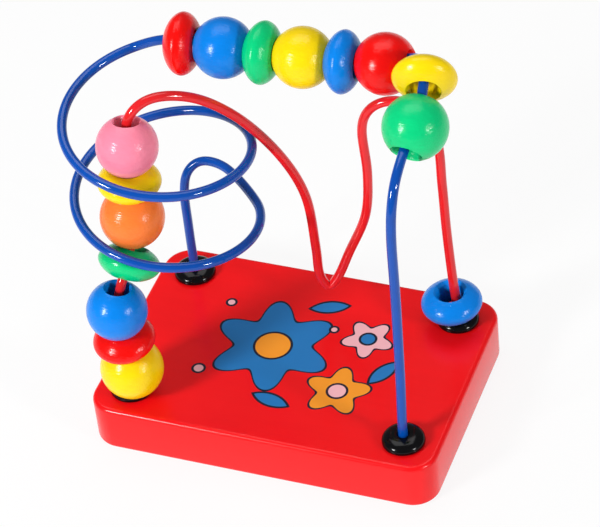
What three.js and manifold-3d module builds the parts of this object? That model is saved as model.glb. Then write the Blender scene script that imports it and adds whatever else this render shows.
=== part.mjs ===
import * as THREE from 'three';
import { mergeVertices } from 'three/addons/utils/BufferGeometryUtils.js';
import Module from 'manifold-3d';

// Wooden bead maze: a board, two bent wires held by four plugs, and beads that run along the wires.
// Millimetres, +Z up, origin at the centre of the board's underside, front of the toy towards -Y.

// Board
const boardLength = 120;
const boardWidth = 82.4;
const boardThick = 17.5;
const boardCornerRadius = 9;
const boardEdgeRadius = 1.6;

// Plugs: a dome on the board with a stem in a blind hole
const plugInsetX = 12.5;
const plugInsetY = 11.9;
const plugDiameter = 14.2;
const plugRimHeight = 1;
const plugDomeHeight = 3.6;
const plugCrownDiameter = 5;
const stemDiameter = 9;
const stemLength = 9;

// Wires
const wireDiameter = 3.2;
const wireSides = 8;
const blueStep = 3.4;
const redStep = 2.6;

// Beads
const ballDiameter = 20;
const bigBallDiameter = 21;
const discDiameter = 20.6;
const discThickness = 12.2;
const discRoundness = 1.85;
const ballBore = 8.2;
const bigBallBore = 9.6;
const discBore = 8.8;
const ballRim = 0.5;
const discRim = 1.2;

// Fits
const fitGap = 0.3;
const beadGap = 0.12;
const beadNudge = 0.05;
const nestShare = 0.88;
const rowHang = 1.5;
const stackHang = 1.6;
const postHang = 1.6;
const wireClear = 0.45;
const stackSpacing = 13.6;
const kinkGap = 4.4;

// Blue wire: back left post, a rising coil, the top row and a drop to the front right post.
// All heights are above the board's top face. A bend is [x, y, height] with x and y from the named place.
const bendsFromBackLeftPlug = [[0, 0, 23], [0, 0.6, 37], [1, 2.6, 44], [5, 4.8, 47.8], [13.6, 3.4, 49]];
const coilDiameter = 59.2;
const coilPitch = 29.8;
const coilTurns = 1.77;
const coilStartAngle = 40;
const coilStartHeight = 51;
const coilFromPlugX = 9.6;
const coilFromPlugY = 26.5;
const rowHeight = 110.2;
const rowRise = 3;
const rowBehindMiddle = 22.4;
const rowBendsFromCoil = [[-4, -1, -0.6], [10, 0, 0]];
const cornerBendsFromPlug = [
  [-15.8, 0.8, 3], [-6.8, 0.8, 6], [-1.8, -2.8, 8.2], [0.2, -8.4, 8.2], [1, -14, 4.6], [1.2, -19.4, -1],
];
const dropBendsFromRow = [[0, 25, -3.8], [0, 17.3, -5.9], [0, 11, -9.4], [0, 6.8, -15.6], [0, 4.6, -24.2]];
const frontPostBends = [[0, 3.7, 60], [0, 1.8, 26]];

// Red wire: front left post, an arch down to a low dip near the back edge and a hook to the back right post.
// The arch and the hook lie in two upright planes that meet at the dip, with bends as [run, height].
const bendsFromFrontLeftPlug = [
  [2, -0.9, 13], [1.2, -2.4, 26], [1.4, -4.2, 40], [2.6, -0.8, 48], [4, 6, 57],
  [4.2, 8.8, 67], [5.2, 8.8, 80], [6, 11.4, 92],
];
const archFootFromPlugX = 5.2;
const archFootFromPlugY = 13.8;
const archFootHeight = 99.6;
const archBendsFromFoot = [[1.4, 105.9], [4.9, 109.7], [10.5, 111.2], [22, 107.4], [34.8, 96]];
const archBendsFromDip = [[-12.5, 75.5], [-4.8, 54.6], [-3, 30], [-2.6, 17.6]];
const dipBesideMiddle = 4.7;
const dipBehindMiddle = 22.6;
const dipHeight = 11.6;
const legBendsFromDip = [[3.2, 15.8], [8.2, 28], [14.9, 45], [16.8, 63]];
const hookBelowRow = 15.8;
const hookBendsFromTop = [[-27, -12.4], [-25.4, -6.4], [-21.6, -2], [-14.6, 0], [-7, -4], [-2.9, -15.4]];
const backPostBends = [[-2.2, 60], [-1.8, 40], [-0.7, 16]];

const plugX = boardLength / 2 - plugInsetX;
const plugY = boardWidth / 2 - plugInsetY;
const coilX = coilFromPlugX - plugX;
const coilY = coilFromPlugY - plugY;
const hookTop = rowHeight - hookBelowRow;
const wireRadius = wireDiameter / 2;
const wireEnd = fitGap - stemLength;
const wireStraight = plugDomeHeight + wireDiameter;

const wasm = await Module();
wasm.setup();

function toSolid(geometry) {
  const bare = geometry.clone();
  bare.deleteAttribute('normal');
  bare.deleteAttribute('uv');
  const merged = mergeVertices(bare, 1e-4);
  return new wasm.Manifold(new wasm.Mesh({
    numProp: 3,
    vertProperties: new Float32Array(merged.attributes.position.array),
    triVerts: new Uint32Array(merged.index.array),
  }));
}

function toGeometry(solid) {
  const mesh = solid.getMesh();
  const geometry = new THREE.BufferGeometry();
  geometry.setAttribute('position', new THREE.BufferAttribute(mesh.vertProperties, 3));
  geometry.setIndex(new THREE.BufferAttribute(mesh.triVerts, 1));
  geometry.computeVertexNormals();
  return geometry;
}

// Turned solid about Z from a closed profile of [radius, height] points that runs up its outside.
function turned(profile, segments) {
  const closed = [...profile, profile[0]].map(([r, z]) => new THREE.Vector2(r, z));
  return new THREE.LatheGeometry(closed, segments).rotateX(Math.PI / 2);
}

function boardOutline() {
  const x = boardLength / 2 - boardEdgeRadius;
  const y = boardWidth / 2 - boardEdgeRadius;
  const r = boardCornerRadius - boardEdgeRadius;
  const outline = new THREE.Shape();
  outline.absarc(x - r, y - r, r, 0, Math.PI / 2);
  outline.absarc(r - x, y - r, r, Math.PI / 2, Math.PI);
  outline.absarc(r - x, r - y, r, Math.PI, 1.5 * Math.PI);
  outline.absarc(x - r, r - y, r, 1.5 * Math.PI, 2 * Math.PI);
  return outline;
}

function boardGeometry(plugPlaces) {
  const blank = new THREE.ExtrudeGeometry(boardOutline(), {
    depth: boardThick - 2 * boardEdgeRadius,
    bevelThickness: boardEdgeRadius,
    bevelSize: boardEdgeRadius,
    bevelSegments: 3,
    curveSegments: 8,
  }).translate(0, 0, boardEdgeRadius);
  let solid = toSolid(blank);
  const holeRadius = stemDiameter / 2 + fitGap;
  const holeDepth = stemLength + fitGap;
  for (const [x, y] of plugPlaces) {
    const drill = new THREE.CylinderGeometry(holeRadius, holeRadius, 2 * holeDepth, 20);
    drill.rotateX(Math.PI / 2).translate(x, y, boardThick);
    solid = solid.subtract(toSolid(drill));
  }
  return toGeometry(solid);
}

// Height of the plug's dome above the board at a distance from its middle
function domeHeight(r) {
  const crown = plugCrownDiameter / 2;
  const share = Math.max(r - crown, 0) / (plugDiameter / 2 - crown);
  return plugRimHeight + (plugDomeHeight - plugRimHeight) * Math.sqrt(Math.max(1 - share * share, 0));
}

function plugGeometry() {
  const bore = wireRadius + fitGap;
  const crown = plugCrownDiameter / 2;
  const rim = plugDiameter / 2;
  const stem = stemDiameter / 2;
  const profile = [[bore, -stemLength], [stem, -stemLength], [stem, fitGap], [rim, fitGap]];
  const arcSteps = 4;
  for (let i = 0; i <= arcSteps; i += 1) {
    const r = crown + (rim - crown) * Math.cos((i / arcSteps) * Math.PI / 2);
    profile.push([r, domeHeight(r)]);
  }
  profile.push([bore, plugDomeHeight]);
  return turned(profile, 18);
}

// A bead's outside is a super-ellipse of revolution: power 2 makes a ball, a lower power a soft ridge.
function beadShape(kind) {
  const radius = { ball: ballDiameter, bigBall: bigBallDiameter, disc: discDiameter }[kind] / 2;
  const bore = { ball: ballBore, bigBall: bigBallBore, disc: discBore }[kind] / 2;
  const half = kind === 'disc' ? discThickness / 2 : radius;
  const power = kind === 'disc' ? discRoundness : 2;
  const rim = kind === 'disc' ? discRim : ballRim;
  const mouth = bore + rim;
  const mouthHeight = half * (1 - (mouth / radius) ** power) ** (1 / power);
  const last = Math.acos((mouth / radius) ** (power / 2));
  const profile = [[bore, rim - mouthHeight]];
  const arcSteps = 8;
  for (let i = 0; i <= arcSteps; i += 1) {
    const a = last * (2 * i / arcSteps - 1);
    const r = radius * Math.cos(a) ** (2 / power);
    const z = half * Math.sign(a) * Math.abs(Math.sin(a)) ** (2 / power);
    profile.push([r, z]);
  }
  profile.push([bore, mouthHeight - rim]);
  return { geometry: turned(profile, 18), radius, half, power, bore, rim, mouthHeight };
}

const at = (x, y, z) => new THREE.Vector3(x, y, boardThick + z);

function postFoot(x, y) {
  return [at(x, y, wireEnd), at(x, y, 0), at(x, y, wireStraight)];
}

function coilBends(x, y) {
  const bends = [];
  const coilSteps = Math.round(24 * coilTurns);
  for (let i = 0; i <= coilSteps; i += 1) {
    const turn = (i / coilSteps) * coilTurns;
    const a = THREE.MathUtils.degToRad(coilStartAngle - 360 * turn);
    const reach = coilDiameter / 2;
    bends.push(at(x + reach * Math.cos(a), y + reach * Math.sin(a), coilStartHeight + coilPitch * turn));
  }
  return bends;
}

function blueRoute() {
  const rise = bendsFromBackLeftPlug.map(([x, y, z]) => at(x - plugX, y + plugY, z));
  const coil = coilBends(coilX, coilY);
  const row = rowBendsFromCoil.map(([x, y, z]) => at(x + coilX, y + rowBehindMiddle, z + rowHeight));
  row.push(at(0, rowBehindMiddle, rowHeight + 0.4 * rowRise));
  const corner = cornerBendsFromPlug.map(([x, y, z]) => at(x + plugX, y + rowBehindMiddle, z + rowHeight));
  const drop = dropBendsFromRow.map(([x, y, z]) => at(x + plugX, y - plugY, z + rowHeight));
  const post = frontPostBends.map(([x, y, z]) => at(x + plugX, y - plugY, z));
  const foot = postFoot(plugX, -plugY).reverse();
  return [...postFoot(-plugX, plugY), ...rise, ...coil, ...row, ...corner, ...drop, ...post, ...foot];
}

function redRoute() {
  const stack = bendsFromFrontLeftPlug.map(([x, y, z]) => at(x - plugX, y - plugY, z));
  const archFoot = new THREE.Vector2(archFootFromPlugX - plugX, archFootFromPlugY - plugY);
  const dip = new THREE.Vector2(dipBesideMiddle, dipBehindMiddle);
  const backPlug = new THREE.Vector2(plugX, plugY);
  const along = (from, to, start) => ([run, z]) => {
    const spot = to.clone().sub(from).setLength(run).add(start);
    return at(spot.x, spot.y, z);
  };
  const arch = [
    along(archFoot, dip, archFoot)([0, archFootHeight]),
    ...archBendsFromFoot.map(along(archFoot, dip, archFoot)),
    ...archBendsFromDip.map(along(archFoot, dip, dip)),
  ];
  const hook = [
    along(dip, backPlug, dip)([0, dipHeight]),
    ...legBendsFromDip.map(along(dip, backPlug, dip)),
    ...hookBendsFromTop.map(([run, z]) => [run, z + hookTop]).map(along(dip, backPlug, backPlug)),
    ...backPostBends.map(along(dip, backPlug, backPlug)),
  ];
  return [...postFoot(-plugX, -plugY), ...stack, ...arch, ...hook, ...postFoot(plugX, plugY).reverse()];
}

// A wire keeps its curve and its length, so that beads can be set out along it.
function bendWire(route, step) {
  const curve = new THREE.CatmullRomCurve3(route, false, 'centripetal');
  curve.arcLengthDivisions = 1600;
  const length = curve.getLength();
  const section = new THREE.Shape();
  section.absarc(0, 0, wireRadius, 0, 2 * Math.PI);
  const geometry = new THREE.ExtrudeGeometry(section, {
    steps: Math.round(length / step),
    curveSegments: wireSides / 2,
    bevelEnabled: false,
    extrudePath: curve,
  });
  const place = (s) => curve.getPointAt(THREE.MathUtils.clamp(s / length, 0, 1));
  return { curve, length, geometry, place };
}

function nearestLength(wire, point) {
  let best = 0;
  for (let s = 0; s <= wire.length; s += 0.5) {
    if (wire.place(s).distanceTo(point) < wire.place(best).distanceTo(point)) best = s;
  }
  return best;
}

// True where the wire keeps its clearance to the bore of a bead with this centre and axis.
function wireClears({ bore, mouthHeight }, wire, s, centre, axis) {
  return [-1, -0.5, 0, 0.5, 1].every((k) => {
    const off = wire.place(s + k * mouthHeight).sub(centre);
    return off.addScaledVector(axis, -off.dot(axis)).length() <= bore - wireRadius - wireClear;
  });
}

function setBead(mesh, centre, axis) {
  mesh.position.copy(centre);
  mesh.quaternion.setFromUnitVectors(new THREE.Vector3(0, 0, 1), axis);
  mesh.updateMatrix();
}

const axisOf = (mesh) => new THREE.Vector3(0, 0, 1).applyQuaternion(mesh.quaternion);

// A bead lies along the chord of the wire in its bore and hangs from it by up to the given drop.
function hangBead({ mesh, shape }, wire, s, hang) {
  const [low, middle, high] = [-1, 0, 1].map((k) => wire.place(s + k * shape.mouthHeight));
  const axis = high.clone().sub(low).normalize();
  const centre = low.add(high).multiplyScalar(0.5).add(middle).multiplyScalar(0.5);
  const down = new THREE.Vector3(0, 0, -1).addScaledVector(axis, axis.z).normalize();
  let drop = hang;
  const hung = () => centre.clone().addScaledVector(down, Math.max(drop, 0));
  while (drop > 0 && !wireClears(shape, wire, s, hung(), axis)) drop -= beadNudge;
  setBead(mesh, hung(), axis);
}

// A bead in a stack leans from the wire's line to the line of the bead it sits on, as far as its bore lets it.
function stackBead({ mesh, shape }, wire, s, below) {
  hangBead({ mesh, shape }, wire, s, 0);
  const chord = axisOf(mesh);
  const onWire = mesh.position.clone();
  const foot = below.mesh.position;
  const isDisc = shape.half < shape.radius;
  const line = isDisc ? wire.place(s + stackSpacing).sub(foot).normalize() : axisOf(below.mesh);
  const onLine = foot.clone().addScaledVector(line, onWire.clone().sub(foot).dot(line));
  for (let share = 1; share >= 0; share -= 0.1) {
    const centre = onWire.clone().lerp(onLine, share);
    const axis = isDisc ? chord.clone().lerp(line, share).normalize() : chord;
    setBead(mesh, centre, axis);
    if (wireClears(shape, wire, s, centre, axis)) return;
  }
}

// True where every point of one bead stands off the other bead by the bead gap, or is inside its bore.
function standsOff(bead, other) {
  const toOther = other.mesh.matrix.clone().invert().multiply(bead.mesh.matrix);
  const points = bead.shape.geometry.attributes.position;
  const { radius, half, power, bore, rim, mouthHeight } = other.shape;
  for (let i = 0; i < points.count; i += 1) {
    const spot = new THREE.Vector3().fromBufferAttribute(points, i).applyMatrix4(toOther);
    const height = Math.abs(spot.z);
    const across = Math.hypot(spot.x, spot.y);
    const reach = (across / (radius + beadGap)) ** power + (height / (half + beadGap)) ** power;
    const edge = bore + Math.max(height - mouthHeight + rim, 0) - 2 * beadGap;
    if (reach < 1 && height < mouthHeight + beadGap && across > edge) return false;
  }
  return true;
}

// True where every point of a bead is above the dome of any plug below it.
function clearsPlugs({ mesh, shape }) {
  const points = shape.geometry.attributes.position;
  for (let i = 0; i < points.count; i += 1) {
    const spot = new THREE.Vector3().fromBufferAttribute(points, i).applyMatrix4(mesh.matrix);
    for (const [x, y] of Object.values(plugNames)) {
      const r = Math.hypot(spot.x - x, spot.y - y);
      if (r < plugDiameter / 2 && spot.z - boardThick < domeHeight(r) + fitGap) return false;
    }
  }
  return true;
}

const red = 0xc4201f;
const blue = 0x1f4fb0;
const green = 0x1f8a3d;
const yellow = 0xf2b705;
const orange = 0xf07a13;
const pink = 0xe05a8c;
const black = 0x141416;

function paint(color, roughness, metalness = 0) {
  return new THREE.MeshStandardMaterial({ color, roughness, metalness });
}

const toy = new THREE.Group();

function addPiece(name, geometry, material) {
  const mesh = new THREE.Mesh(geometry, material);
  mesh.name = name;
  toy.add(mesh);
  return mesh;
}

const plugNames = {
  plug_front_left: [-plugX, -plugY],
  plug_front_right: [plugX, -plugY],
  plug_back_left: [-plugX, plugY],
  plug_back_right: [plugX, plugY],
};

addPiece('board', boardGeometry(Object.values(plugNames)), paint(red, 0.3));
for (const [name, [x, y]] of Object.entries(plugNames)) {
  addPiece(name, plugGeometry(), paint(black, 0.2)).position.set(x, y, boardThick);
}

const blueWire = bendWire(blueRoute(), blueStep);
const redWire = bendWire(redRoute(), redStep);
addPiece('wire_blue', blueWire.geometry, paint(blue, 0.25, 0.1));
addPiece('wire_red', redWire.geometry, paint(red, 0.25, 0.1));

// Beads are set out one after another along a wire, each pushed on until it stands off what is before it.
function threadBeads(wire, start, beads, hang) {
  let s = start;
  let last;
  for (const { name, kind, color, sits = false, gap = 0 } of beads) {
    const shape = beadShape(kind);
    const bead = { shape, mesh: addPiece(name, shape.geometry, paint(color, 0.3)) };
    s += gap + (last ? nestShare * (last.shape.mouthHeight + shape.mouthHeight) : shape.mouthHeight + beadGap);
    const seat = () => (sits ? stackBead(bead, wire, s, last) : hangBead(bead, wire, s, hang));
    seat();
    while (last ? !standsOff(bead, last) || !standsOff(last, bead) : !clearsPlugs(bead)) {
      s += beadNudge;
      seat();
    }
    last = bead;
  }
}

const rowBeads = [
  { name: 'row_1_red_disc', kind: 'disc', color: red },
  { name: 'row_2_blue_ball', kind: 'ball', color: blue },
  { name: 'row_3_green_disc', kind: 'disc', color: green },
  { name: 'row_4_yellow_ball', kind: 'ball', color: yellow },
  { name: 'row_5_blue_disc', kind: 'disc', color: blue },
  { name: 'row_6_red_ball', kind: 'ball', color: red },
  { name: 'row_7_yellow_disc', kind: 'disc', color: yellow },
  { name: 'row_8_green_ball', kind: 'bigBall', color: green },
];
const stackBeads = [
  { name: 'stack_1_yellow_ball', kind: 'bigBall', color: yellow },
  { name: 'stack_2_red_disc', kind: 'disc', color: red, sits: true },
  { name: 'stack_3_blue_ball', kind: 'ball', color: blue, sits: true },
  { name: 'stack_4_green_disc', kind: 'disc', color: green, gap: kinkGap },
  { name: 'stack_5_orange_ball', kind: 'bigBall', color: orange, sits: true },
  { name: 'stack_6_yellow_disc', kind: 'disc', color: yellow, sits: true },
  { name: 'stack_7_pink_ball', kind: 'ball', color: pink, sits: true },
];
const postBeads = [{ name: 'post_blue_disc', kind: 'disc', color: blue }];

const boardTop = -wireEnd;
const rowStart = nearestLength(blueWire, at(coilX + rowBendsFromCoil[0][0], rowBehindMiddle, rowHeight));
threadBeads(blueWire, rowStart, rowBeads, rowHang);
threadBeads(redWire, boardTop, stackBeads, stackHang);
const postWire = { ...redWire, place: (s) => redWire.place(redWire.length - s) };
threadBeads(postWire, boardTop, postBeads, postHang);

export default toy;
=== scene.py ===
import math

import bpy
import numpy as np
from mathutils import Matrix, Vector


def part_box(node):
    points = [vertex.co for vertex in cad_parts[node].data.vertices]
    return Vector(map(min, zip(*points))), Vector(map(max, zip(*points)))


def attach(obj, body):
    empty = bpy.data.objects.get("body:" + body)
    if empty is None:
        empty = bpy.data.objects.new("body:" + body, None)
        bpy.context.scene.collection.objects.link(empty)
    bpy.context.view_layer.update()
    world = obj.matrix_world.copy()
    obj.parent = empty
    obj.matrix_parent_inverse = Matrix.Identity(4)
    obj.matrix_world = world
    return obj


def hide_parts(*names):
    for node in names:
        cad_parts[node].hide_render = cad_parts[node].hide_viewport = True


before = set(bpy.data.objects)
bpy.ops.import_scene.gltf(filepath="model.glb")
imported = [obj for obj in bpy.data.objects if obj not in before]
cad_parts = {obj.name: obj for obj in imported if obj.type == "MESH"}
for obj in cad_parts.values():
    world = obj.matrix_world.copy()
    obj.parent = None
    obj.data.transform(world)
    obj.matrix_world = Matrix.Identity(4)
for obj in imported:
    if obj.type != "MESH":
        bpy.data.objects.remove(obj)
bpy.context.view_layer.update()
mm = 0.001  # in metres
sameSpot = 1e-6  # points closer than this, in metres, are one
print("frame loaded:", len(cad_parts), "nodes")

# Camera and lamps

cameraSettings = {
    "place": (0.3111, -0.6876, 0.7393),
    "azimuth": 23.986,
    "elevation": 42.08,
    "roll": -6.501,
    "lens": 187.6,
    "sensor": 36,
}
lampMiddle = (0, 0, 0.06)  # where the lamps point
lampSettings = {
    "frontLeft": {"towards": (-0.47, -0.75, 0.44), "away": 1.1, "size": (0.22, 0.22), "power": 10},
    "right": {"towards": (0.88, -0.32, 0.36), "away": 1.2, "size": (0.16, 0.16), "power": 5.6},
    "above": {"towards": (-0.15, 0.3, 0.95), "away": 1.3, "size": (1.2, 0.8), "power": 7},
}


def addCamera():
    s = cameraSettings
    bpy.ops.object.camera_add()
    camera = bpy.context.object
    turn = (Matrix.Rotation(math.radians(s["azimuth"]), 4, "Z")
            @ Matrix.Rotation(math.radians(90 - s["elevation"]), 4, "X")
            @ Matrix.Rotation(math.radians(s["roll"]), 4, "Z"))
    camera.matrix_world = Matrix.Translation(s["place"]) @ turn
    camera.data.sensor_fit = "HORIZONTAL"
    camera.data.sensor_width = s["sensor"]
    camera.data.lens = s["lens"]
    bpy.context.scene.camera = camera


def addLamps():
    for name, s in lampSettings.items():
        towards = Vector(s["towards"]).normalized()
        bpy.ops.object.light_add(type="AREA", location=Vector(lampMiddle) + towards * s["away"])
        lamp = bpy.context.object
        lamp.name = "lamp" + name
        lamp.rotation_euler = towards.to_track_quat("Z", "Y").to_euler()
        lamp.data.shape = "RECTANGLE"
        lamp.data.size, lamp.data.size_y = s["size"]
        lamp.data.energy = s["power"]


# Shader maths: Link wraps a socket, add() makes any node

class Link:
    def __init__(self, tree, node=None, out=0):
        self.tree, self.node = tree, node
        self.socket = node.outputs[out] if node else None

    def add(self, kind, settings=None, inputs=None, out=0):
        node = self.tree.nodes.new("ShaderNode" + kind)
        for key, value in (settings or {}).items():
            setattr(node, key, value)
        for key, value in (inputs or {}).items():
            feed(node, key, value)
        return Link(self.tree, node, out)

    def out(self, name):
        return Link(self.tree, self.node, name)

    def maths(self, operation, a, b=0.0, clamp=False):
        return self.add("Math", {"operation": operation, "use_clamp": clamp}, {0: a, 1: b})

    def __add__(self, other):
        return self.maths("ADD", self, other)

    __radd__ = __add__

    def __sub__(self, other):
        return self.maths("SUBTRACT", self, other)

    def __rsub__(self, other):
        return self.maths("SUBTRACT", other, self)

    def __mul__(self, other):
        return self.maths("MULTIPLY", self, other)

    __rmul__ = __mul__

    def most(self, other):
        return self.maths("MAXIMUM", self, other)

    def below(self, edge, soft):  # 1 inside the edge, 0 outside
        return self.maths("DIVIDE", edge - self, soft, clamp=True)

    def mixed(self, first, second):  # colours by this factor, on the Mix node's colour sockets
        return self.add("Mix", {"data_type": "RGBA"}, {0: self, 6: first, 7: second}, out=2)


def newMaterial(name):
    material = bpy.data.materials.new(name)
    material.use_nodes = True
    tree = material.node_tree
    shader = tree.nodes["Principled BSDF"]
    return material, Link(tree), shader


def feed(node, name, value):  # a link or a constant into a socket
    if isinstance(value, Link):
        value.tree.links.new(value.socket, node.inputs[name])
    else:
        node.inputs[name].default_value = value


def tint(colour, factor):
    return tuple(min(c * factor, 1) for c in colour) + (1,)


def tones(s, colour):  # the darkest and the lightest colour of a finish
    return tint(colour, s["shade"]), tint(colour, s["light"])


def noise(start, coords, scale, detail, roughness=0.5):
    inputs = {"Vector": coords, "Scale": scale, "Detail": detail, "Roughness": roughness}
    return start.add("TexNoise", None, inputs)


def gloss(start, shader, s, spread, height):  # the sheen and relief of a finish
    low, high = s["roughness"]
    feed(shader, "Roughness", low + (high - low) * spread)
    feed(shader, "Specular IOR Level", s["specular"])
    relief = {"Height": height, "Strength": s["bump"], "Distance": s["bumpDepth"]}
    feed(shader, "Normal", start.add("Bump", None, relief))


# Lacquered wood of the beads: grain lines run under the lacquer and dimple it a little

beadFinish = {
    "grainAlong": 0.16,  # scale along the grain, as a share of that across it
    "grainTurn": (0.3, 0.5, 0.2),
    "grainScale": 700,
    "poreScale": 1900,
    "cloudScale": 90,
    "grainShare": 0.6,  # of the change of colour, the rest is cloud
    "darkest": 0.3,  # pattern value that gets the full shade
    "contrast": 2.2,
    "shade": 0.93,
    "light": 1.04,
    "roughness": (0.16, 0.22),
    "specular": 0.27,
    "bump": 0.42,
    "bumpDepth": 0.0004,
    "poreShare": 0.65,  # of the relief, the rest is grain
}
beadColours = {
    "red": (0.90, 0.003, 0.002),
    "blue": (0.0005, 0.21, 0.74),
    "green": (0.001, 0.59, 0.20),
    "yellow": (0.95, 0.67, 0.002),
    "orange": (0.93, 0.20, 0.034),
    "pink": (0.93, 0.24, 0.35),
}


def grainCoords(start, s):
    coords = start.add("TexCoord").out("Object")
    stretch = (s["grainAlong"], 1, 1)
    return start.add("Mapping", None, {"Vector": coords, "Rotation": s["grainTurn"], "Scale": stretch})


def lacquer(name, colour):
    s = beadFinish
    material, start, shader = newMaterial("lacquer_" + name)
    along = grainCoords(start, s)
    coords = start.add("TexCoord").out("Object")
    grain = noise(start, along, s["grainScale"], detail=4, roughness=0.6)
    pores = noise(start, along, s["poreScale"], detail=2)
    cloud = noise(start, coords, s["cloudScale"], detail=2)
    pattern = grain * s["grainShare"] + cloud * (1 - s["grainShare"])
    depth = (pattern - s["darkest"]) * s["contrast"]
    feed(shader, "Base Color", depth.maths("ADD", depth, 0, clamp=True).mixed(*tones(s, colour)))
    gloss(start, shader, s, cloud, grain * (1 - s["poreShare"]) + pores * s["poreShare"])
    return material


# Gloss coating on the wires and gloss plastic of the plugs

coatingColours = {"wire_blue": (0.0005, 0.066, 0.38), "wire_red": (0.72, 0.014, 0.018)}
coatingFinish = {
    "flowScale": 160,
    "shade": 0.9,
    "light": 1.1,
    "roughness": (0.05, 0.1),
    "specular": 0.42,
    "bump": 0.03,
    "bumpDepth": 0.0006,
}
plugFinish = {
    "colour": (0.002, 0.002, 0.0025),
    "hazeScale": 260,
    "shade": 0.8,
    "light": 1.6,
    "roughness": (0.1, 0.18),
    "specular": 0.22,
    "bump": 0.04,
    "bumpDepth": 0.0005,
}


def coating(name, colour):
    s = coatingFinish
    material, start, shader = newMaterial("coating_" + name)
    coords = start.add("TexCoord").out("Object")
    flow = noise(start, coords, s["flowScale"], detail=1)
    feed(shader, "Base Color", flow.mixed(*tones(s, colour)))
    gloss(start, shader, s, flow, flow)
    return material


def plugPlastic():
    s = plugFinish
    material, start, shader = newMaterial("plugPlastic")
    coords = start.add("TexCoord").out("Object")
    haze = noise(start, coords, s["hazeScale"], detail=4)
    feed(shader, "Base Color", haze.mixed(*tones(s, s["colour"])))
    gloss(start, shader, s, haze, haze)
    return material


# Board lacquer with a printed flower design on the top face

boardFinish = {
    "colour": (0.90, 0.005, 0.008),
    "grainAlong": 0.08,
    "grainTurn": (0, 0, 0),
    "grainScale": 420,
    "cloudScale": 45,
    "grainShare": 0.5,
    "shade": 0.93,
    "light": 1.06,
    "roughness": (0.16, 0.26),
    "specular": 0.3,
    "bump": 0.05,
    "bumpDepth": 0.0005,
}
printColours = {
    "line": (0.010, 0.014, 0.030, 1),
    "blue": (0.020, 0.19, 0.50, 1),
    "orange": (0.94, 0.33, 0.025, 1),
    "pink": (0.92, 0.48, 0.52, 1),
}
printSettings = {
    "faceDepth": 0.2 * mm,  # nothing deeper below the top face is printed
    "line": 0.42 * mm,  # half the width of the outline
    "soft": 0.09 * mm,
    "flowers": [  # sizes in millimetres, the turn in radians
        {"x": -9, "y": 2, "radius": 17.5, "depth": 4.0, "petals": 6, "turn": 0.3,
         "petal": "blue", "heart": 6.4, "core": "orange"},
        {"x": 19, "y": -13, "radius": 9.2, "depth": 2.2, "petals": 5, "turn": 0.9,
         "petal": "orange", "heart": 3.4, "core": "pink"},
        {"x": 21, "y": 13, "radius": 7.4, "depth": 1.8, "petals": 5, "turn": 0.2,
         "petal": "pink", "heart": 2.8, "core": "blue"},
    ],
    "leaves": [  # half length and half width in millimetres, the turn in degrees
        {"x": 31, "y": -1, "long": 7.0, "wide": 2.8, "turn": 62},
        {"x": 3.5, "y": 24.5, "long": 7.0, "wide": 2.8, "turn": 20},
        {"x": -1, "y": -22.5, "long": 7.0, "wide": 2.8, "turn": -12},
    ],
    "leafColour": "blue",
    "dots": [(-29.5, -14.5, 2.1), (-30, 18.5, 1.7), (8.5, 14.5, 1.5)],  # middle and radius in millimetres
    "dotColour": "pink",
}


def printedDesign(x, y, ground):
    s = printSettings
    colour = ground

    def fill(distance, paint, colour):
        inked = distance.below(s["line"], s["soft"]).mixed(colour, printColours["line"])
        return distance.below(-s["line"], s["soft"]).mixed(inked, printColours[paint])

    for leaf in s["leaves"]:
        c, n = math.cos(math.radians(leaf["turn"])), math.sin(math.radians(leaf["turn"]))
        dx, dy = x - leaf["x"] * mm, y - leaf["y"] * mm
        u, v = dx * c + dy * n, dy * c - dx * n
        bow = (leaf["long"] ** 2 - leaf["wide"] ** 2) / (2 * leaf["wide"])  # two arcs make the leaf
        reach = (bow + leaf["wide"]) * mm
        side = v.maths("ABSOLUTE", v) + bow * mm
        square = u * u + side * side
        colour = fill(square.maths("SQRT", square) - reach, s["leafColour"], colour)
    for flower in s["flowers"]:
        dx, dy = x - flower["x"] * mm, y - flower["y"] * mm
        square = dx * dx + dy * dy
        away = square.maths("SQRT", square)
        angle = dy.maths("ARCTAN2", dy, dx)
        wave = angle * flower["petals"] + flower["turn"] * flower["petals"]
        petal = wave.maths("COSINE", wave)
        colour = fill(away - petal * (flower["depth"] * mm) - flower["radius"] * mm, flower["petal"], colour)
        colour = fill(away - flower["heart"] * mm, flower["core"], colour)
    for px, py, radius in s["dots"]:
        dx, dy = x - px * mm, y - py * mm
        square = dx * dx + dy * dy
        colour = fill(square.maths("SQRT", square) - radius * mm, s["dotColour"], colour)
    return colour


def boardLacquer(topHeight):
    s = boardFinish
    material, start, shader = newMaterial("lacquer_board")
    coords = start.add("TexCoord").out("Object")
    grain = noise(start, grainCoords(start, s), s["grainScale"], detail=5, roughness=0.6)
    cloud = noise(start, coords, s["cloudScale"], detail=2)
    place = start.add("SeparateXYZ", None, {0: coords})
    x, y, z = (place.out(k) for k in "XYZ")
    pattern = grain * s["grainShare"] + cloud * (1 - s["grainShare"])
    ground = pattern.mixed(*tones(s, s["colour"]))
    onTop = z.maths("GREATER_THAN", z, topHeight - printSettings["faceDepth"])
    feed(shader, "Base Color", onTop.mixed(ground, printedDesign(x, y, ground)))
    gloss(start, shader, s, cloud, grain)
    return material


# Hand tools

def deselectAll():
    bpy.ops.object.select_all(action="DESELECT")


def pick(piece):
    deselectAll()
    piece.select_set(True)
    bpy.context.view_layer.objects.active = piece


def settle(piece):  # its place goes into the mesh
    pick(piece)
    bpy.ops.object.transform_apply(location=True, rotation=True, scale=True)


def smooth(piece, degrees):
    pick(piece)
    bpy.ops.object.shade_smooth_by_angle(angle=math.radians(degrees))


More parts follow.
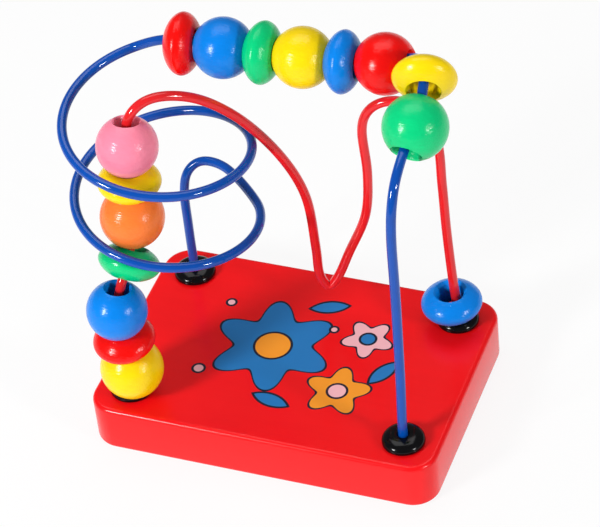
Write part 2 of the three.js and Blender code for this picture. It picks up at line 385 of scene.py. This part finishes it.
def turnOnLathe(name, outline, steps):  # radius and height of each point in millimetres
    deselectAll()
    bpy.ops.mesh.primitive_plane_add(size=mm)
    piece = bpy.context.object
    piece.name = name
    bpy.ops.object.mode_set(mode="EDIT")
    bpy.ops.mesh.select_mode(type="VERT")
    bpy.ops.mesh.select_all(action="SELECT")
    bpy.ops.mesh.merge(type="CENTER")
    last = Vector((0, 0, 0))
    for i, (r, z) in enumerate(outline + outline[:1]):
        point = Vector((r * mm, 0, z * mm))
        if i == 0:
            bpy.ops.transform.translate(value=point - last)
        else:
            bpy.ops.mesh.extrude_region_move(TRANSFORM_OT_translate={"value": point - last})
        last = point
    bpy.ops.mesh.select_all(action="SELECT")
    bpy.ops.mesh.remove_doubles(threshold=sameSpot)
    bpy.ops.mesh.spin(steps=steps, angle=2 * math.pi, center=(0, 0, 0), axis=(0, 0, 1))
    bpy.ops.mesh.select_all(action="SELECT")
    bpy.ops.mesh.remove_doubles(threshold=sameSpot)
    bpy.ops.mesh.normals_make_consistent(inside=False)
    bpy.ops.object.mode_set(mode="OBJECT")
    return piece


def copyOf(model, name):
    piece = model.copy()
    piece.data = model.data.copy()
    piece.name = name
    bpy.context.scene.collection.objects.link(piece)
    return piece


def standFor(piece, node, body, slot, material):
    piece.data.materials.clear()
    piece.data.materials.append(material)
    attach(piece, body)
    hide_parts(node)


# Beads, turned once for each shape and set where the nodes are

beadShapes = {  # sizes in millimetres
    "ball": {"radius": 10.0, "half": 10.0, "power": 2, "bore": 4.1, "rim": 0.5, "ease": 0.06},
    "bigBall": {"radius": 10.5, "half": 10.5, "power": 2, "bore": 4.8, "rim": 0.5, "ease": 0.06},
    "disc": {"radius": 10.3, "half": 6.1, "power": 1.85, "bore": 4.4, "rim": 1.2, "ease": 0.1},
}
beadSettings = {"arcSteps": 40, "lipSteps": 4, "turns": 72, "smooth": 40}
bigBalls = ("row_8_green_ball", "stack_5_orange_ball", "stack_1_yellow_ball")


def turnBead(name, s):
    radius, half, power, bore, rim = (s[key] for key in ("radius", "half", "power", "bore", "rim"))
    mouth = bore + rim
    height = half * (1 - (mouth / radius) ** power) ** (1 / power)
    last = math.acos((mouth / radius) ** (power / 2))
    outline = []
    arcSteps, lipSteps = beadSettings["arcSteps"], beadSettings["lipSteps"]
    for i in range(arcSteps + 1):
        a = last * (2 * i / arcSteps - 1)
        z = half * math.copysign(abs(math.sin(a)) ** (2 / power), a)
        outline.append((radius * math.cos(a) ** (2 / power), z))
    lip = []
    for i in range(1, lipSteps + 1):
        share = i / lipSteps
        lip.append((mouth - rim * share, height - rim * share + s["ease"] * math.sin(math.pi * share)))
    outline += lip + [(bore, 0)] + [(r, -z) for r, z in reversed(lip)]
    return turnOnLathe(name, outline, beadSettings["turns"])


def seatOf(node):  # the axis is the direction whose spread stands out
    points = np.array([v.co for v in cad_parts[node].data.vertices])
    middle = (points.min(0) + points.max(0)) / 2
    spread, lines = np.linalg.eigh(np.cov((points - middle).T))
    axis = lines[:, 0] if spread[1] - spread[0] > spread[2] - spread[1] else lines[:, 2]
    return Vector(middle), Vector(axis)


def makeBeads():
    models = {kind: turnBead("model_" + kind, s) for kind, s in beadShapes.items()}
    finishes = {name: lacquer(name, colour) for name, colour in beadColours.items()}
    names = [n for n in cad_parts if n.startswith(("row_", "stack_", "post_"))]
    for node in names:
        colour = next(c for c in beadColours if "_" + c + "_" in node)
        kind = "bigBall" if node in bigBalls else "disc" if node.endswith("disc") else "ball"
        middle, axis = seatOf(node)
        piece = copyOf(models[kind], "bead_" + node)
        turn = axis.to_track_quat("Z", "Y").to_matrix().to_4x4()
        piece.matrix_world = Matrix.Translation(middle) @ turn
        settle(piece)
        smooth(piece, beadSettings["smooth"])
        standFor(piece, node, node, "bead_" + colour, finishes[colour])
    for model in models.values():
        bpy.data.objects.remove(model)
    print("beads turned:", len(names))


# Plugs: a dome on a stem that stands in the board's hole

plugSettings = {
    "rim": 7.1, "rimHeight": 1.0, "domeHeight": 3.6, "crown": 2.5, "bore": 1.9, "ease": 0.25,
    "stem": 4.5, "stemLength": 9.0, "gap": 0.3, "arcSteps": 18, "turns": 64, "smooth": 40,
}
plugNodes = [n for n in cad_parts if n.startswith("plug_")]


def middleOf(node, height):
    low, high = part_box(node)
    return (low.x + high.x) / 2, (low.y + high.y) / 2, height


def turnPlug(name, s):
    bore, stem, rim, crown, ease, gap = (s[key] for key in ("bore", "stem", "rim", "crown", "ease", "gap"))
    foot, top = -s["stemLength"], s["domeHeight"]
    outline = [(bore, foot), (stem, foot), (stem, gap), (rim - ease, gap), (rim, gap + ease)]
    for i in range(s["arcSteps"] + 1):
        a = i / s["arcSteps"] * math.pi / 2
        z = s["rimHeight"] + (top - s["rimHeight"]) * math.sin(a)
        outline.append((crown + (rim - crown) * math.cos(a), z))
    outline += [(bore + ease, top), (bore, top - ease)]
    return turnOnLathe(name, outline, s["turns"])


def makePlugs(boardTop):
    plastic = plugPlastic()
    model = turnPlug("model_plug", plugSettings)
    for node in plugNodes:
        piece = copyOf(model, "cap_" + node)
        piece.location = middleOf(node, boardTop)
        settle(piece)
        smooth(piece, plugSettings["smooth"])
        standFor(piece, node, "base", "plug_black", plastic)
    bpy.data.objects.remove(model)
    print("plugs turned")


# Wires: the routed tube of the frame, merged, made round and brought back to its gauge

wireSettings = {"levels": 2, "gauge": 3.2, "sides": 8, "smooth": 60}


def makeWire(node):
    s = wireSettings
    piece = copyOf(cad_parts[node], "bent_" + node)
    piece.parent = None
    for key in list(piece.keys()):  # the copy doesn't carry the node's marks
        del piece[key]
    pick(piece)
    bpy.ops.object.mode_set(mode="EDIT")
    bpy.ops.mesh.select_all(action="SELECT")
    bpy.ops.mesh.remove_doubles(threshold=sameSpot)
    bpy.ops.mesh.tris_convert_to_quads(face_threshold=math.pi, shape_threshold=math.pi)
    bpy.ops.object.mode_set(mode="OBJECT")
    rounder = piece.modifiers.new("rounder", "SUBSURF")
    rounder.levels = rounder.render_levels = s["levels"]
    bpy.ops.object.modifier_apply(modifier=rounder.name)
    kept = (4 + 2 * math.cos(2 * math.pi / s["sides"])) / 6  # share of the radius that rounding leaves
    bpy.ops.object.mode_set(mode="EDIT")
    bpy.ops.mesh.select_all(action="SELECT")
    bpy.ops.transform.shrink_fatten(value=s["gauge"] / 2 * (1 - kept) * mm)
    bpy.ops.object.mode_set(mode="OBJECT")
    smooth(piece, s["smooth"])
    standFor(piece, node, "base", node, coating(node, coatingColours[node]))
    print("wire bent:", node)


# Board: a block with rounded corners, eased edges and drilled holes

boardSettings = {
    "corner": 9.0, "cornerSteps": 14, "edge": 1.6, "edgeSteps": 6,
    "inset": 0.5,  # keeps the wide faces flat beside the eased edges
    "hole": 4.8, "holeDepth": 9.3, "holeSides": 48, "smooth": 35,
}
levelNormal = 0.999  # a level face's normal has more than this of z


def makeBoard():
    s = boardSettings
    low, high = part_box("board")
    deselectAll()
    bpy.ops.mesh.primitive_cube_add(size=1, location=(low + high) / 2, scale=high - low)
    piece = bpy.context.object
    piece.name = "boardBlock"
    settle(piece)

    def pickEdges(test):
        bpy.ops.mesh.select_mode(type="EDGE")
        bpy.ops.mesh.select_all(action="DESELECT")
        bpy.ops.object.mode_set(mode="OBJECT")
        for edge in piece.data.edges:
            a, b = (piece.data.vertices[v].co for v in edge.vertices)
            edge.select = test(a, b)
        bpy.ops.object.mode_set(mode="EDIT")

    bpy.ops.object.mode_set(mode="EDIT")
    pickEdges(lambda a, b: abs(a.z - b.z) > sameSpot)
    bpy.ops.mesh.bevel(offset=s["corner"] * mm, segments=s["cornerSteps"], affect="EDGES")
    pickEdges(lambda a, b: abs(a.z - b.z) < sameSpot)
    bpy.ops.mesh.bevel(offset=s["edge"] * mm, segments=s["edgeSteps"], affect="EDGES")
    bpy.ops.mesh.select_mode(type="FACE")
    bpy.ops.mesh.select_all(action="DESELECT")
    bpy.ops.object.mode_set(mode="OBJECT")
    for face in piece.data.polygons:
        face.select = abs(face.normal.z) > levelNormal
    bpy.ops.object.mode_set(mode="EDIT")
    bpy.ops.mesh.inset(thickness=s["inset"] * mm, use_individual=True)
    bpy.ops.object.mode_set(mode="OBJECT")

    for node in plugNodes:
        deselectAll()
        bpy.ops.mesh.primitive_cylinder_add(
            vertices=s["holeSides"], radius=s["hole"] * mm, depth=2 * s["holeDepth"] * mm,
            location=middleOf(node, high.z))
        drill = bpy.context.object
        cut = piece.modifiers.new("drill", "BOOLEAN")
        cut.operation, cut.solver, cut.object = "DIFFERENCE", "EXACT", drill
        bpy.context.view_layer.objects.active = piece
        bpy.ops.object.modifier_apply(modifier=cut.name)
        bpy.data.objects.remove(drill)
    smooth(piece, s["smooth"])
    standFor(piece, "board", "base", "board_red", boardLacquer(high.z))
    print("board made")
    return high.z


# Floor and world

white = (1, 1, 1, 1)
stageSettings = {
    "floorSize": 6,
    "floorColour": (0.9, 0.9, 0.9, 1),
    "floorRoughness": 0.9,
    "floorGlow": 0.88,  # share of plain white for the camera and in reflections
    "worldStrength": 0.2,
}


def addStage():
    s = stageSettings
    deselectAll()
    bpy.ops.mesh.primitive_plane_add(size=s["floorSize"])
    floor = bpy.context.object
    floor.name = "floor"
    material, start, shader = newMaterial("floorPaper")
    feed(shader, "Base Color", s["floorColour"])
    feed(shader, "Roughness", s["floorRoughness"])
    ray = start.add("LightPath")
    seen = ray.out("Is Camera Ray").most(ray.out("Is Glossy Ray")).most(ray.out("Is Transmission Ray"))
    glow = start.add("Emission", None, {"Color": white, "Strength": 1})
    paper = start.add("MixShader", None, {0: seen * s["floorGlow"], 1: Link(start.tree, shader), 2: glow})
    start.tree.links.new(paper.socket, start.tree.nodes["Material Output"].inputs["Surface"])
    floor.data.materials.append(material)
    world = bpy.data.worlds.new("studio")
    bpy.context.scene.world = world
    world.use_nodes = True
    background = world.node_tree.nodes["Background"]
    background.inputs["Color"].default_value = white
    background.inputs["Strength"].default_value = s["worldStrength"]


bpy.context.scene.view_settings.view_transform = "Standard"
addCamera()
addLamps()
addStage()
boardTop = makeBoard()
makePlugs(boardTop)
makeWire("wire_blue")
makeWire("wire_red")
makeBeads()
